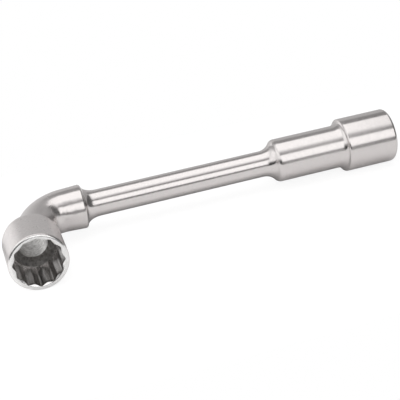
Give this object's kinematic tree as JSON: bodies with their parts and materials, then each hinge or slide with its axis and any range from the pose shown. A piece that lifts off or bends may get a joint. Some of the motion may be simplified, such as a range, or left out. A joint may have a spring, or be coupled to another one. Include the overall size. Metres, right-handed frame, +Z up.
{
  "type": "l-shaped socket wrench",
  "caption": "L-shaped socket wrench in satin chrome: twelve-point socket on a bored elbow, round shank, bored barrel and six-point socket on the straight end.",
  "frame": {"origin": "under the middle of the wrench's box, on the surface that it lies on", "axes": "+X along the straight arm towards the six-point socket, -Y out of the twelve-point socket's mouth, +Z up with both arms level"},
  "size_m": [0.27, 0.0822, 0.036],
  "materials": {
    "satin_chrome": "satin chrome plating over blasted forged steel, darker and rougher inside the sockets and bores"
  },
  "bodies": {
    "root": {"angled_socket": "satin_chrome", "elbow": "satin_chrome", "shank": "satin_chrome", "barrel": "satin_chrome", "straight_socket": "satin_chrome"}
  },
  "joints": []
}
